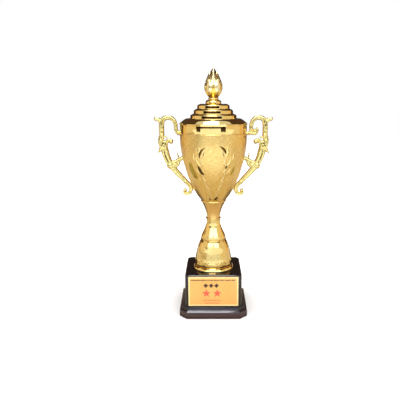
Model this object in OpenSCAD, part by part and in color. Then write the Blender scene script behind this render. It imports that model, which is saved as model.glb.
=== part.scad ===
// Cup trophy: a lidded gold cup with two scrolled handles on a turned stem,
// held by one threaded rod to a black moulded base with a plaque.
// Origin: centre of the base's underside. +Z up, front towards -Y.

/* [Base] */
// Side of the square upper block
block_w = 50; // [46:0.5:54]
// Side of the square lower plate
plate_w = 60; // [58:0.5:66]
// Height of the whole base
base_h = 38.5; // [36:0.5:42]
// Height of the lower plate and its ledge
plate_h = 10; // [9:0.5:12]
// Corner cut of the lower plate
plate_cut = 6.5; // [5:0.5:8]
// Corner radius of the block
block_corner = 4; // [3:0.5:6]
// Wall thickness of the moulding
base_wall = 2.2; // [1.8:0.1:2.6]

/* [Plaque] */
// Width of the plaque
plaque_w = 44; // [36:0.5:44]
// Height of the plaque
plaque_h = 27; // [20:0.5:27]
// Thickness of the plaque
plaque_t = 0.8; // [0.5:0.1:1.2]

/* [Stem] */
// Radius of the rolled ring at the bell's foot
foot_r = 18.4; // [17.6:0.1:20]
// Height of the rolled ring
foot_ring_h = 2.6; // [2.2:0.1:3]
// Height of the foot bell
bell_h = 23.6; // [21:0.1:26]
// Height of the lower stem, a trumpet
trumpet_h = 17.1; // [14:0.1:19]
// Height of the upper stem, a cone
cone_h = 14.2; // [13:0.1:17]
// Wall thickness of the stem mouldings
stem_wall = 1.5; // [1.2:0.1:1.8]

/* [Cup] */
// Outer radius of the cup at its rim
cup_r = 29.3; // [28:0.1:31]
// Height of the cup from the bead ring to the rim
cup_h = 66.9; // [64:0.1:70]
// Wall thickness of the cup
cup_wall = 1.2; // [1:0.1:1.5]
// Depth of the handle castings, front to back
handle_t = 4.6; // [4:0.1:5.5]

/* [Lid] */
// Radius of the lid's edge
lid_r = 29.6; // [29.3:0.1:31]
// Number of rounded steps on the lid
lid_steps = 3; // [2:1:4]
// Wall thickness of the lid
lid_wall = 1.2; // [1:0.1:1.5]
// Height of the finial bud
bud_h = 24.65; // [22:0.05:28]

/* [Hidden] */
$fn = 64;

// Heights of the stack, from the table up
cover_t = 2;
foot_z = base_h;
bell_z = foot_z + foot_ring_h;
stem_ring_h = 0.8;
stem_ring_z = bell_z + bell_h;
trumpet_z = stem_ring_z + stem_ring_h;
collar_h = 2.8;
collar_z = trumpet_z + trumpet_h;
cone_z = collar_z + collar_h;
bead_h = 1.7;
bead_z = cone_z + cone_h;
cup_z = bead_z + bead_h;
rim_z = cup_z + cup_h;

// Adhesive behind the plaque
tape_t = 0.15;

// Fastening rod and its bores
rod_r = 2;
rod_bore = 2.2;
nut_across = 7;
nut_h = 3.2;
washer_t = 0.8;
ballast_z = 12;
ballast_h = base_h - base_wall - ballast_z;
rod_bottom = ballast_z - washer_t - nut_h - 2;
cup_floor_t = 1.6;
rod_top = cup_z + cup_floor_t + washer_t + nut_h + 1.2;

// Cup details
band_h = 6.9;
step_in = 0.15;
cup_straight_h = 15.2;
cup_foot_r = 11;
link_drop = 7.6;
leaf_drop = 29.2;
leaf_tilt = 10;

// Lid details
lid_gap = 0.05;
lid_z = rim_z + lid_gap;
lid_edge_h = 0.6;
shoulder_h = 5.1;
shoulder_r = 24.3;
tier_h = 4.2;
tier_r = 20.2;
tiers_top = lid_z + shoulder_h + lid_steps * tier_h;
spigot_h = 4;
spigot_gap = 0.5;
collar_top = tiers_top + 5.4;
bud_z = collar_top;
lid_screw_r = 1.5;
lid_bore = 1.6;

// Points of a cubic curve from a to d, bent towards b and c
function curve(a, b, c, d, n = 8) = [
    for (i = [0:n])
        let (t = i / n, s = 1 - t)
        s * s * s * a + 3 * s * s * t * b + 3 * s * t * t * c + t * t * t * d
];

// Points of a circular arc about a centre, from angle a0 to a1
function arc(centre, r, a0, a1, n = 8) = [
    for (i = [0:n])
        let (a = a0 + (a1 - a0) * i / n)
        centre + r * [cos(a), sin(a)]
];

function reversed(list) = [for (i = [len(list) - 1:-1:0]) list[i]];

// Joins curves end to end and gives each point its width: [point, width].
// widths holds one width for each end and joint of the chain.
function widened(curves, widths) = [
    for (k = [0:len(curves) - 1])
        let (last = len(curves[k]) - 1)
        for (j = [(k == 0 ? 0 : 1):last])
            [curves[k][j], widths[k] + (widths[k + 1] - widths[k]) * j / last]
];

// Direction in degrees of a widened line at its point i
function heading(line, i) =
    let (d = line[min(i + 1, len(line) - 1)][0] - line[max(i - 1, 0)][0])
    atan2(d[1], d[0]);

// Points beside one point of a widened line, at given angles to its direction
function beside(line, i, angles) = [
    for (a = angles)
        let (h = heading(line, i) + a)
        line[i][0] + line[i][1] / 2 * [cos(h), sin(h)]
];

// A bar of the casting that follows a chain of curves, with round ends
module bar(curves, widths) {
    line = widened(curves, widths);
    last = len(line) - 1;
    linear_extrude(handle_t, center = true)
        polygon(concat(
            [for (i = [0:last]) each beside(line, i, [90])],
            beside(line, last, [60:-30:-60]),
            [for (i = [last:-1:0]) each beside(line, i, [-90])],
            beside(line, 0, [-120:-30:-240])
        ));
}

// A round eye or boss of the casting
module eye(centre, r) {
    translate([centre[0], centre[1], -handle_t / 2]) cylinder(r = r, h = handle_t, $fn = 32);
}

// A turned shell: an outline of [radius, height] points from bottom to top,
// hollowed to a wall, open below and closed above round the rod
module turned_shell(outline, wall) {
    top = outline[len(outline) - 1][1];
    inner = [
        for (p = outline)
            if (p[1] < top - wall) [max(rod_bore, p[0] - wall), p[1]]
    ];
    last = inner[len(inner) - 1];
    rotate_extrude()
        polygon(concat(
            outline,
            [[rod_bore, top], [rod_bore, top - wall], [last[0], top - wall]],
            reversed(inner)
        ));
}

// Outline of a ring with a rolled edge: radius where the roll starts, and height
function rolled(r, h) = concat([[r, 0]], arc([r, h / 2], h / 2 - 0.1, -80, 80), [[r, h]]);

// A flat or turned ring round the rod
module turned_ring(outline) {
    bottom = outline[0][1];
    top = outline[len(outline) - 1][1];
    rotate_extrude() polygon(concat(outline, [[rod_bore, top], [rod_bore, bottom]]));
}

module washer(r, bore, t) {
    difference() {
        cylinder(r = r, h = t);
        translate([0, 0, -1]) cylinder(r = bore, h = t + 2);
    }
}

module hex_nut(across, bore, h) {
    difference() {
        cylinder(d = across / cos(30), h = h, $fn = 6);
        translate([0, 0, -1]) cylinder(r = bore, h = h + 2);
    }
}

// ---------- base ----------

module cut_square(side, cut) {
    h = side / 2;
    polygon([
        [cut - h, -h], [h - cut, -h], [h, cut - h], [h, h - cut],
        [h - cut, h], [cut - h, h], [-h, h - cut], [-h, cut - h]
    ]);
}

module rounded_square(side, r) {
    c = side / 2 - r;
    polygon(concat(
        arc([c, c], r, 0, 90), arc([-c, c], r, 90, 180),
        arc([-c, -c], r, 180, 270), arc([c, -c], r, 270, 360)
    ));
}

module base_shell() {
    bevel_w = 3;
    band = plate_h - 4;
    color("#2a2024")
    difference() {
        union() {
            linear_extrude(band) cut_square(plate_w, plate_cut);
            translate([0, 0, band])
                linear_extrude(2) cut_square(plate_w - bevel_w, plate_cut - 1);
            translate([0, 0, band + 2])
                linear_extrude(2) cut_square(plate_w - 2 * bevel_w, plate_cut - 2);
            linear_extrude(base_h) rounded_square(block_w, block_corner);
        }
        translate([0, 0, -1])
            linear_extrude(band + 1) cut_square(plate_w - 2 * base_wall, plate_cut - 1);
        linear_extrude(base_h - base_wall)
            rounded_square(block_w - 2 * base_wall, block_corner - 1);
        cylinder(r = rod_bore, h = base_h + 1);
    }
}

module base_ballast() {
    fit = 0.3;
    color("dimgray")
    translate([0, 0, ballast_z])
    difference() {
        linear_extrude(ballast_h)
            rounded_square(block_w - 2 * base_wall - 2 * fit, block_corner - 1);
        translate([0, 0, -1]) cylinder(r = rod_bore, h = ballast_h + 2);
    }
}

module base_washer() {
    color("silver") translate([0, 0, ballast_z - washer_t]) washer(9, rod_bore, washer_t);
}

module rod_nut_bottom() {
    color("silver")
    translate([0, 0, ballast_z - washer_t - nut_h]) hex_nut(nut_across, rod_r, nut_h);
}

module bottom_cover() {
    fit = 0.2;
    color("black")
    linear_extrude(cover_t)
        cut_square(plate_w - 2 * base_wall - 2 * fit, plate_cut - 1);
}

// ---------- plaque ----------

module plaque_tape() {
    color("white")
    translate([-plaque_w / 2 + 1, -block_w / 2 - tape_t, plate_h + 1.5])
        cube([plaque_w - 2, tape_t, plaque_h - 2]);
}

module plaque() {
    color("#f2c47a")
    translate([-plaque_w / 2, -block_w / 2 - tape_t - plaque_t, plate_h + 0.5])
        cube([plaque_w, plaque_t, plaque_h]);
}

// ---------- foot and stem ----------

module foot_ring() {
    roll_r = foot_r - foot_ring_h / 2 + 0.1;
    color("gold")
    translate([0, 0, foot_z]) turned_ring(rolled(roll_r, foot_ring_h));
}

module foot_bell() {
    waist = foot_r - 2.2;
    color("goldenrod")
    translate([0, 0, bell_z])
        turned_shell(concat(
            [[waist, 0]],
            curve([waist + 0.8, 1.2], [waist + 0.6, 6], [waist - 0.2, 9], [waist - 0.7, 12.4]),
            curve([waist - 0.9, 14.5], [waist - 1.6, bell_h - 6], [12.2, bell_h - 2.5], [11.2, bell_h])
        ), stem_wall);
}

module stem_ring() {
    h = stem_ring_h;
    color("gold")
    translate([0, 0, stem_ring_z])
        turned_ring([[11, 0], [11.5, h / 2], [11, h]]);
}

module stem_trumpet() {
    color("gold")
    translate([0, 0, trumpet_z])
        turned_shell(
            curve([11.4, 0], [11.2, 5], [6.8, 8], [6, trumpet_h], 12),
            stem_wall);
}

module stem_collar() {
    color("gold")
    translate([0, 0, collar_z]) turned_ring(rolled(5.5, collar_h));
}

module stem_cone() {
    color("goldenrod")
    translate([0, 0, cone_z])
        turned_shell(
            curve([6, 0], [6.1, 5.2], [8.3, 10], [10.7, cone_h], 10),
            stem_wall);
}

module bead_ring() {
    color("gold")
    translate([0, 0, bead_z]) turned_ring(rolled(10.6, bead_h));
}

// ---------- cup ----------

// Outer side of the cup wall, from the foot up, as [radius, height over the foot]
cup_curve_z = cup_h - cup_straight_h;
cup_outer = concat(
    curve([cup_foot_r, 0], [22.8, 13.6], [cup_r - 0.1, cup_curve_z - 10], [cup_r - 0.1, cup_curve_z], 16),
    [
        [cup_r - 0.1 - step_in, cup_h - band_h],
        [cup_r - 0.1, cup_h - band_h + 0.3],
        [cup_r, cup_h]
    ]
);

module cup_solid(grow) {
    translate([0, 0, cup_z])
        rotate_extrude()
            polygon(concat([[0, 0]], [for (p = cup_outer) [p[0] + grow, p[1]]], [[0, cup_h]]));
}

// Fastening points on the wall: distance below the rim and tilt of the wall's normal
FASTENINGS = [[link_drop, 0], [leaf_drop, leaf_tilt]];
wall_in_r = cup_r - cup_wall - 0.1;
leaf_in_r = wall_in_r - 1.8;
screw_reach = 3.3;

// Places children with +Z along the screw, towards the handle, at the inner wall
module at_fastenings() {
    radius = [wall_in_r, leaf_in_r];
    for (hand = [1, -1])
        for (i = [0:1])
            translate([hand * radius[i], 0, rim_z - FASTENINGS[i][0]])
                rotate([0, hand * (90 + FASTENINGS[i][1]), 0])
                    children();
}

module cup_bowl() {
    screw_bore = 1.3;
    inner = concat(
        [[rod_bore, cup_floor_t], [cup_foot_r - 1.6, cup_floor_t]],
        curve([cup_foot_r - 0.8, 2.2], [21.8, 14.4], [cup_r - 1.3, cup_curve_z - 10], [cup_r - 1.3, cup_curve_z], 16),
        [[cup_r - cup_wall, cup_h]]
    );
    color("#e8c070")
    difference() {
        translate([0, 0, cup_z])
            rotate_extrude()
                polygon(concat([[rod_bore, 0]], cup_outer, reversed(inner)));
        at_fastenings() translate([0, 0, -2]) cylinder(r = screw_bore, h = 5, $fn = 24);
    }
}

module bowl_washer() {
    color("silver") translate([0, 0, cup_z + cup_floor_t]) washer(7, rod_bore, washer_t);
}

module rod_nut_top() {
    color("silver")
    translate([0, 0, cup_z + cup_floor_t + washer_t]) hex_nut(nut_across, rod_r, nut_h);
}

module centre_rod() {
    color("silver") translate([0, 0, rod_bottom]) cylinder(r = rod_r, h = rod_top - rod_bottom);
}

// ---------- handles ----------

// All points of a handle are [distance out from the rim, height over the rim]

// Where the arch meets the cup: a scrolled volute on a link, or a plain leg
function arch_root(volute) = volute
    ? [
        curve([9, -2.6], [9.3, -3.3], [9.3, -4], [9, -4.5], 3),
        curve([9, -4.5], [9, -9.5], [3.8, -8.5], [3.8, -4.5]),
    ]
    : [curve([-1.6, -link_drop], [2, -link_drop], [2.9, -6.6], [3.6, -3.8], 6)];

module casting(volute) {
    // arch, post and body in one sweep
    bar(
        concat(arch_root(volute), [
            curve(volute ? [3.8, -4.5] : [3.6, -3.8], [3.2, 1.5], [5.5, 6], [10.2, 6.1]),
            curve([10.2, 6.1], [14, 6.1], [16, 4], [16.1, -1]),
            curve([16.1, -1], [16.1, -4], [16, -7], [15.9, -10.5], 3),
            curve([15.9, -10.5], [17.4, -12.5], [17.6, -16], [15.3, -20])
        ]),
        volute ? [1, 2.6, 3.4, 4.2, 4.8, 4.4, 5.6] : [4.4, 3.4, 4.2, 4.8, 4.4, 5.6]);
    if (volute) {
        bar([curve([6.2, -link_drop], [4, -link_drop], [1, -link_drop], [-1.6, -link_drop], 2)], [3, 3.8]);
        eye([7.2, -5.2], 1.5);
    }
    // knob and collar of the post
    bar([curve([15, 0.8], [17, 3], [19, 4.5], [21.5, 5.1])], [3.6, 2.4]);
    bar([curve([12, -10.9], [13.5, -11.2], [16, -11.2], [17.8, -10.9], 4)], [1.6, 2]);
    // hook and spur
    bar([curve([12.6, -20.5], [12.6, -13.6], [9.6, -12], [8.1, -14.4])], [4, 2.8]);
    eye([8, -14.7], 2.2);
    bar([curve([15.6, -19], [17.3, -22], [18.4, -23.6], [19.5, -24.6], 4)], [5, 1.2]);
    // body, diagonal, bar and lower scroll in one sweep
    bar(
        [
            curve([14.3, -16.6], [14, -19.5], [13.6, -22], [13.2, -24], 3),
            curve([13.2, -24], [12.5, -28], [10.5, -32], [8.4, -35.4]),
            curve([8.4, -35.4], [4.6, -41.5], [-1, -46], [-5, -50.8]),
            curve([-5, -50.8], [-10, -54.5], [-10.3, -60], [-6.8, -61.3]),
            curve([-6.8, -61.3], [-4, -62.2], [-2.4, -60.6], [-3.6, -58.6], 5)
        ],
        [5.8, 7.4, 6, 3.9, 2.9, 2.4]);
    eye([-3.9, -58.3], 1.7);
    eye([8.9, -35.9], 3.3);
    // leaf to the cup, its lobe and its spike
    bar([curve([8, -34.6], [4, -33.5], [1.2, -31], [-3, -29])], [5, 3.8]);
    bar([curve([1.6, -31.2], [1, -34], [2.3, -36], [6, -37.9])], [3.4, 3]);
    bar([curve([0.9, -30.2], [2, -28.5], [2.3, -26.5], [2.3, -24.2], 5)], [2.4, 0.8]);
    // lug that touches the foot of the cup
    bar([curve([-8.8, -56.5], [-10, -56.6], [-12, -56.8], [-13.5, -57], 2)], [2.2, 2.6]);
}

module handle(volute) {
    screw_bore = 1.1;
    seat_gap = 0.03;
    color("gold")
    difference() {
        translate([cup_r, 0, rim_z]) rotate([90, 0, 0]) casting(volute);
        cup_solid(seat_gap);
        at_fastenings() cylinder(r = screw_bore, h = screw_reach + 0.3, $fn = 24);
    }
}

module handle_right() {
    handle(true);
}

module handle_left() {
    mirror([1, 0, 0]) handle(false);
}

washer_seat = 0.4;
handle_washer_t = 0.5;

module handle_washers() {
    color("silver")
    at_fastenings()
        translate([0, 0, -washer_seat - handle_washer_t]) washer(2.6, 1.15, handle_washer_t);
}

module handle_screws() {
    head_h = 1.3;
    shank = screw_reach + washer_seat + handle_washer_t;
    color("silver")
    at_fastenings()
        translate([0, 0, -washer_seat - handle_washer_t - head_h])
        union() {
            difference() {
                cylinder(r = 2.1, h = head_h, $fn = 24);
                translate([-2.5, -0.3, -0.1]) cube([5, 0.6, 0.7]);
            }
            cylinder(r = 1, h = head_h + shank, $fn = 24);
        }
}

// ---------- lid ----------

// Radius of a step at its foot: the steps close in as a dome does
function tier_foot(i) = tier_r - 3.05 * i;

// One rounded step of the lid, from its foot to its top; higher steps lean in more
function lid_tier(i) =
    let (r = tier_foot(i), z = lid_z + shoulder_h + i * tier_h)
    [
        [r, z],
        [r - 0.15, z + tier_h * 0.57],
        [r - 0.7 - 0.4 * i, z + tier_h * 0.86],
        [r - 1.6 - 0.5 * i, z + tier_h]
    ];

function lid_outline() = concat(
    [
        [lid_r, lid_z],
        [lid_r, lid_z + lid_edge_h],
        [shoulder_r, lid_z + shoulder_h],
    ],
    [for (i = [0:lid_steps - 1]) each lid_tier(i)]
);

module lid_shell() {
    inner_r = cup_r - cup_wall - spigot_gap - lid_wall;
    crown_r = tier_foot(lid_steps - 1) - 4.5;
    crown_t = lid_wall + 0.6;
    color("gold")
    rotate_extrude()
        polygon(concat(
            [
                [inner_r, lid_z - spigot_h],
                [inner_r + lid_wall, lid_z - spigot_h],
                [inner_r + lid_wall, lid_z]
            ],
            lid_outline(),
            [
                [lid_bore, tiers_top],
                [lid_bore, tiers_top - crown_t],
                [crown_r, tiers_top - crown_t],
                [tier_r - 2.2, lid_z + shoulder_h],
                [shoulder_r - 1, lid_z + shoulder_h - crown_t],
                [inner_r, lid_z + 1]
            ]
        ));
}

module lid_washer() {
    color("silver")
    translate([0, 0, tiers_top - lid_wall - 0.6 - washer_t])
        washer(4.5, lid_bore, washer_t);
}

module lid_screw() {
    head_r = 2.8;
    head_h = 1.8;
    head_z = tiers_top - lid_wall - 0.6 - washer_t - head_h;
    color("silver")
    translate([0, 0, head_z])
    union() {
        difference() {
            cylinder(r = head_r, h = head_h);
            translate([-3, -0.4, -0.1]) cube([6, 0.8, 0.9]);
            translate([-0.4, -3, -0.1]) cube([0.8, 6, 0.9]);
        }
        cylinder(r = lid_screw_r, h = bud_z - head_z + 9);
    }
}

module finial_collar() {
    h = collar_top - tiers_top;
    color("gold")
    translate([0, 0, tiers_top])
    rotate_extrude()
        polygon(concat(
            [[lid_bore, 0], [6.7, 0]],
            curve([6.9, 0.5], [6.8, 2], [6.2, 3], [4.9, 3.5], 6),
            curve([3.9, 3.7], [4.5, 3.9], [4.5, h - 0.2], [3.9, h], 4),
            [[lid_bore, h]]
        ));
}

module finial_bud() {
    screw_depth = 9.5;
    belly_r = 8.2;
    color("gold")
    translate([0, 0, bud_z])
    difference() {
        rotate_extrude()
            polygon(concat(
                [[0, 0], [3.9, 0]],
                curve([4.3, 0.4], [6.6, 2.2], [8.1, 4.6], [belly_r, 7.6], 8),
                curve([belly_r, 9.2], [8.2, 11], [7.7, 12.6], [6.7, 14.4], 5),
                curve([6.5, 14.9], [5.6, 17.6], [4.3, 19.6], [3.6, bud_h - 3.4], 5),
                curve([3.1, bud_h - 2.2], [1.8, bud_h - 1], [1.2, bud_h - 0.5], [0.6, bud_h - 0.2], 4),
                [[0, bud_h]]
            ));
        translate([0, 0, -1]) cylinder(r = lid_bore, h = screw_depth + 1);
    }
}

bottom_cover();
rod_nut_bottom();
base_washer();
base_ballast();
base_shell();
plaque_tape();
plaque();
foot_ring();
foot_bell();
stem_ring();
stem_trumpet();
stem_collar();
stem_cone();
bead_ring();
cup_bowl();
bowl_washer();
rod_nut_top();
centre_rod();
handle_left();
handle_right();
handle_washers();
handle_screws();
lid_shell();
lid_washer();
lid_screw();
finial_collar();
finial_bud();
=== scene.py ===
import bpy
import math
import random
import numpy as np
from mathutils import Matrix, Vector


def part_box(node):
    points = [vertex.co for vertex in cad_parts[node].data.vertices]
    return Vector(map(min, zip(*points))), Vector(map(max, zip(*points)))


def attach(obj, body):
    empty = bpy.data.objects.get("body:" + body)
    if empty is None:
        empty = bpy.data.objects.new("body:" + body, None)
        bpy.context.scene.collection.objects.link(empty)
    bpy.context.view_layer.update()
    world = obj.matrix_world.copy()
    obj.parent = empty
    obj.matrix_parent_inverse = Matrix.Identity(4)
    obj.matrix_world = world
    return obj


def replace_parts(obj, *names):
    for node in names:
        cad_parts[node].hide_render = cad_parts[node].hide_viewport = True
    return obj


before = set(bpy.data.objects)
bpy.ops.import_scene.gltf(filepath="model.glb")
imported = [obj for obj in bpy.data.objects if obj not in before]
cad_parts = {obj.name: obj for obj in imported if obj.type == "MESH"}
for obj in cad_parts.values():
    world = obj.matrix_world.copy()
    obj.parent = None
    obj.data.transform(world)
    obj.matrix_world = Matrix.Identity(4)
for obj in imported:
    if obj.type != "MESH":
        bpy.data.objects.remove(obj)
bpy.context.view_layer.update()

# Outlines are written in millimetres and turned into metres when a mesh is made.
MM = 0.001
CUP = "cup"
LID = "lid"


# ------ sizes from the frame

def ends(node):
    """Lowest and highest heights of a CAD node, in millimetres."""
    lowest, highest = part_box(node)
    return lowest[2] / MM, highest[2] / MM


def reach(node):
    """Largest X of a CAD node, in millimetres: the radius of a turned one."""
    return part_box(node)[1][0] / MM


CUP_R = reach("cup_bowl")
CUP_Z, RIM_Z = ends("cup_bowl")
CUP_H = RIM_Z - CUP_Z
CUP_WALL = 1.2
BAND_H = 6.9
STEM_WALL = 1.5
ROD_BORE = 2.2
HANDLE_T = 2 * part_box("handle_right")[1][1] / MM
BELL_R = reach("foot_ring") - 2.2


# ------ curves and outlines

def curve(a, b, c, d, n=12):
    """Points of a cubic curve from a to d, bent towards b and c."""
    points = []
    for i in range(n + 1):
        t = i / n
        s = 1 - t
        weights = (s * s * s, 3 * s * s * t, 3 * s * t * t, t * t * t)
        point = [sum(w * p[k] for w, p in zip(weights, (a, b, c, d))) for k in range(len(a))]
        points.append(tuple(point))
    return points


def joined(*curves):
    """Curves end to end, without the doubled joints."""
    points = list(curves[0])
    for c in curves[1:]:
        points += c[1:]
    return points


def heading(a, b):
    """Direction from one point to another, in radians."""
    return math.atan2(b[1] - a[1], b[0] - a[0])


def around_axis(r, angle, z):
    """A point in metres from a radius, an angle from the front and a height in millimetres."""
    return (r * math.sin(angle) * MM, -r * math.cos(angle) * MM, z * MM)


def roll(r, z0, z1, n):
    """Half-round edge of a ring between two heights, from below to above."""
    half = (z1 - z0) / 2
    angles = [math.radians(-90 + 180 * i / n) for i in range(n + 1)]
    return [(r + half * math.cos(a), z0 + half + half * math.sin(a)) for a in angles]


def softened(points, radius, n):
    """A closed outline with each corner rounded to a radius, less where its sides are short."""
    count = len(points)
    result = []
    for i in range(count):
        p = Vector(points[i])
        before = Vector(points[i - 1]) - p
        after = Vector(points[(i + 1) % count]) - p
        turn = math.pi - before.angle(after, 0)
        if turn < math.radians(12):
            result.append(tuple(p))
            continue
        cut = min(radius * math.tan(turn / 2), before.length * 0.45, after.length * 0.45)
        start = p + before.normalized() * cut
        end = p + after.normalized() * cut
        result += curve(start, start.lerp(p, 0.55), end.lerp(p, 0.55), end, n)
    return result


# ------ meshes

def new_object(name, data):
    """An object that is linked to the scene."""
    obj = bpy.data.objects.new(name, data)
    bpy.context.scene.collection.objects.link(obj)
    return obj


def mesh_object(name, verts, faces, material):
    """An object with a mesh in metres."""
    mesh = bpy.data.meshes.new(name)
    mesh.from_pydata(verts, [], faces)
    mesh.materials.append(material)
    return new_object(name, mesh)


def piece(name, verts, faces, material, body, slot, sharp=35):
    """A smooth-shaded mesh in metres that rides on a body; its edges are sharp above an angle."""
    obj = mesh_object(name, verts, faces, material)
    for polygon in obj.data.polygons:
        polygon.use_smooth = True
    obj.data.set_sharp_from_angle(angle=math.radians(sharp))
    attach(obj, body)
    return obj


def lathe(name, outline, material, body, slot, steps=160, sharp=35):
    """A closed outline of (radius, height) in millimetres, counter-clockwise, turned round Z."""
    verts = []
    rings = []
    for r, z in outline:
        if r < 1e-6:
            rings.append([len(verts)] * steps)
            verts.append((0, 0, z * MM))
            continue
        rings.append([len(verts) + k for k in range(steps)])
        for k in range(steps):
            a = 2 * math.pi * k / steps
            verts.append((r * math.cos(a) * MM, r * math.sin(a) * MM, z * MM))
    faces = []
    for i in range(len(rings)):
        lower = rings[i]
        upper = rings[(i + 1) % len(rings)]
        if lower[0] == lower[1] and upper[0] == upper[1]:
            continue
        for k in range(steps):
            j = (k + 1) % steps
            corners = [lower[k], lower[j], upper[j], upper[k]]
            faces.append(list(dict.fromkeys(corners)))
    return piece(name, verts, faces, material, body, slot, sharp)


def turned_shell(outline, wall):
    """Closed outline of a hollow turned piece: its outer side, bottom to top, and a wall's thickness."""
    top = outline[-1][1]
    inner = [(max(ROD_BORE, r - wall), z) for r, z in outline if z < top - wall]
    ceiling = [(ROD_BORE, top), (ROD_BORE, top - wall), (inner[-1][0], top - wall)]
    return outline + ceiling + inner[::-1]


def tube_faces(rings, around):
    """Faces of a tube over rings of equal length, closed at both ends."""
    faces = []
    for i in range(rings - 1):
        for k in range(around):
            j = (k + 1) % around
            faces.append((i * around + k, i * around + j, (i + 1) * around + j, (i + 1) * around + k))
    faces.append(tuple(range(around))[::-1])
    last = (rings - 1) * around
    faces.append(tuple(last + k for k in range(around)))
    return faces


def sheet_faces(along, across):
    """Faces of a thin closed sheet: a grid of verts for its front, then the same grid for its back."""
    row = across + 1
    count = row * (along + 1)
    faces = []
    for i in range(along):
        for j in range(across):
            a = i * row + j
            faces.append((a, a + row, a + row + 1, a + 1))
            faces.append((a + count, a + count + 1, a + count + row + 1, a + count + row))
    border = [i * row for i in range(along)]
    border += [along * row + j for j in range(across)]
    border += [i * row + across for i in range(along, 0, -1)]
    border += range(across, 0, -1)
    for a, b in zip(border, border[1:] + border[:1]):
        faces.append((a, a + count, b + count, b))
    return faces


def merge(parts):
    """Several (verts, faces) as one."""
    verts, faces = [], []
    for v, f in parts:
        start = len(verts)
        verts += v
        faces += [tuple(k + start for k in face) for face in f]
    return verts, faces


def run_modifiers(obj):
    """Replaces an object's mesh by the result of its modifiers."""
    graph = bpy.context.evaluated_depsgraph_get()
    mesh = bpy.data.meshes.new_from_object(obj.evaluated_get(graph))
    obj.modifiers.clear()
    obj.data = mesh


# ------ node helpers

class Nodes:
    """Short names for the few shader nodes that the materials share."""

    def __init__(self, name):
        self.material = bpy.data.materials.new(name)
        self.material.use_nodes = True
        self.tree = self.material.node_tree
        self.shader = self.tree.nodes["Principled BSDF"]

    def put(self, socket, value):
        """Feeds a socket from another node, or sets the socket's own value."""
        if isinstance(value, bpy.types.NodeSocket):
            self.tree.links.new(value, socket)
        else:
            socket.default_value = value

    def add(self, kind, inputs, **settings):
        """A new node with its settings, and its inputs by name."""
        node = self.tree.nodes.new(kind)
        for key, value in settings.items():
            setattr(node, key, value)
        for key, value in inputs.items():
            self.put(node.inputs[key], value)
        return node

    def feed(self, **inputs):
        """Feeds the shader's own sockets, or sets their values."""
        for key, value in inputs.items():
            self.put(self.shader.inputs[key.replace("_", " ")], value)

    def place(self):
        """Object coordinates: the piece's own place in metres."""
        return self.add("ShaderNodeTexCoord", {}).outputs["Object"]

    def split(self, vector):
        return self.add("ShaderNodeSeparateXYZ", {"Vector": vector}).outputs

    def scaled(self, vector, scale, rotation=(0, 0, 0)):
        inputs = {"Vector": vector, "Scale": scale, "Rotation": rotation}
        return self.add("ShaderNodeMapping", inputs).outputs["Vector"]

    def noise(self, vector, scale, detail=3.0, roughness=0.5):
        inputs = {"Vector": vector, "Scale": scale, "Detail": detail, "Roughness": roughness}
        return self.add("ShaderNodeTexNoise", inputs).outputs["Fac"]

    def spread(self, value, low_out, high_out, low_in=0.3, high_in=0.7):
        """Stretches a value's middle range onto new limits."""
        inputs = {"Value": value, "From Min": low_in, "From Max": high_in,
                  "To Min": low_out, "To Max": high_out}
        return self.add("ShaderNodeMapRange", inputs).outputs["Result"]

    def ramp(self, value, *stops):
        node = self.add("ShaderNodeValToRGB", {"Fac": value})
        elements = node.color_ramp.elements
        while len(elements) < len(stops):
            elements.new(0.5)
        for element, (position, colour) in zip(elements, stops):
            element.position = position
            element.color = (*colour, 1)
        return node.outputs["Color"]

    def maths(self, operation, a, b):
        return self.add("ShaderNodeMath", {0: a, 1: b}, operation=operation).outputs[0]

    def blend(self, *parts):
        """Weighted sum of values, each given as (value, weight)."""
        total = None
        for value, weight in parts:
            weighted = self.maths("MULTIPLY", value, weight)
            total = weighted if total is None else self.maths("ADD", total, weighted)
        return total

    def bump(self, height, strength, distance, **under):
        """A bump of a strength and a depth in metres, over another one if Normal is given."""
        inputs = {"Height": height, "Strength": strength, "Distance": distance, **under}
        return self.add("ShaderNodeBump", inputs).outputs["Normal"]

    def unrolled(self, radius):
        """The wall of a turned piece laid flat: (distance round, 0, height), in metres."""
        where = self.split(self.place())
        angle = self.maths("ARCTAN2", where["X"], self.maths("MULTIPLY", where["Y"], -1.0))
        flat = {"X": self.maths("MULTIPLY", angle, radius), "Z": where["Z"]}
        return self.add("ShaderNodeCombineXYZ", flat).outputs["Vector"]


# ------ materials
# The scales of a noise, or of the mapping before it, are in cells per metre.

def polished_gold(name, light, deep, rough=(0.025, 0.06), lacquer=0.7, dimples=0.0):
    """Mirror gold plate: slow colour drift, turning lines, hairline scratches, specks and dimples."""
    n = Nodes(name)
    where = n.place()
    drift = n.noise(where, 120.0)
    n.feed(Base_Color=n.ramp(drift, (0.3, light), (0.7, deep)))
    film = n.noise(where, 900.0, 4.0)
    n.feed(Roughness=n.spread(film, *rough))
    lines = n.noise(n.scaled(where, (6, 6, 2600)), 1.0, 2.0)
    scratches = n.noise(n.scaled(where, (300, 300, 4500), (0.5, 0.3, 0.2)), 1.0, 2.0)
    specks = n.noise(where, 3200.0, 2.0)
    height = n.blend((lines, 0.5), (scratches, 0.5), (specks, 0.25))
    beaten = n.noise(n.scaled(where, (1, 1, 1.6)), 380.0, 2.0)
    n.feed(Normal=n.bump(height, 0.06, 0.00006, Normal=n.bump(beaten, dimples, 0.0004)))
    n.feed(Metallic=1.0, Coat_Weight=lacquer, Coat_Roughness=0.04)
    return n.material


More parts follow.
